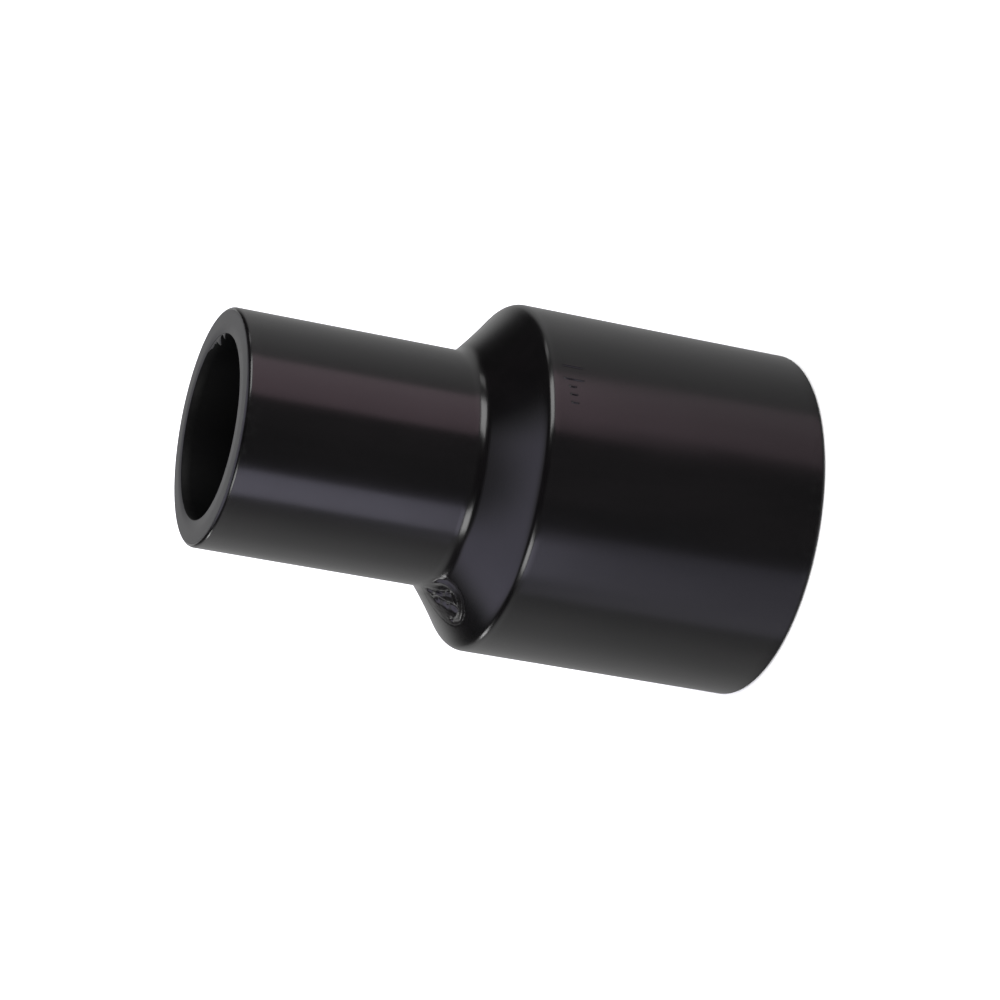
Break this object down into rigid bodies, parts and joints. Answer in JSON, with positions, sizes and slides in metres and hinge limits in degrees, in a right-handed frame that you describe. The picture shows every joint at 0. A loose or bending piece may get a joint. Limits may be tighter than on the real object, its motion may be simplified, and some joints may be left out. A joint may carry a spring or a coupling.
{
  "type": "pipe reducer",
  "caption": "Plain-ended concentric reducer in black polyethylene: a long wide spigot, a short sloping shoulder and a long narrow spigot, for joining pipes of two sizes by butt fusion.",
  "frame": {"origin": "centre of the large end's flat face, on which the fitting stands", "axes": "+Z along the common axis of both spigots, towards the small end; the gate's remains are on the -X side, 16 degrees round towards -Y"},
  "size_m": [0.1106, 0.1106, 0.1827],
  "materials": {
    "black_polyethylene": "smooth moulded, satin gloss, with faint streaks; end faces cut flat and matt",
    "torn_polyethylene": "wrinkled where the gate was cut off"
  },
  "bodies": {
    "root": {"large_spigot": "black_polyethylene", "shoulder": "black_polyethylene", "small_spigot": "black_polyethylene", "gate_stub": "torn_polyethylene"}
  },
  "joints": []
}
